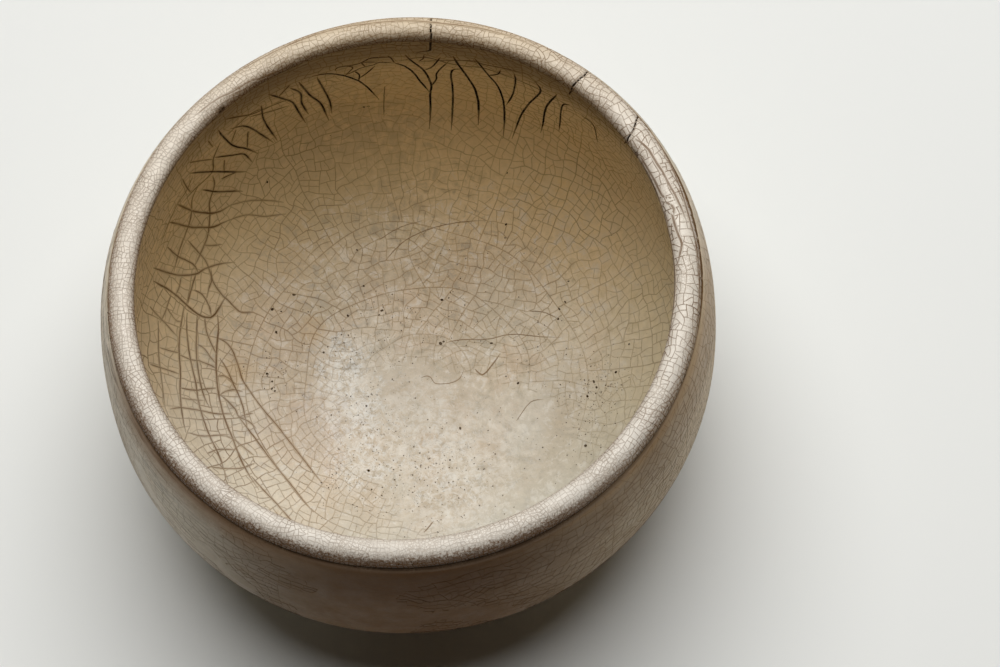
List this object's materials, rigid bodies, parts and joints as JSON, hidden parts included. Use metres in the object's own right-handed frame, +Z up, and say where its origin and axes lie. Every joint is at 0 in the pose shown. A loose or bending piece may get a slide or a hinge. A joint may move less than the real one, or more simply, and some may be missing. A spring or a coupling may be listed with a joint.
{
  "type": "cracked bowl",
  "caption": "Round stoneware bowl with an incurved shoulder, rolled lip and foot ring, cracked through the lip and crazed all over.",
  "frame": {"origin": "middle of the foot ring, on the surface that the bowl stands on", "axes": "+Z up through the middle of the bowl; +Y towards the most cracked part of the lip and wall"},
  "size_m": [0.2016, 0.1996, 0.1133],
  "materials": {
    "glaze": "satin glaze, crazed and stained"
  },
  "bodies": {
    "root": {"bowl": "glaze"}
  },
  "joints": []
}
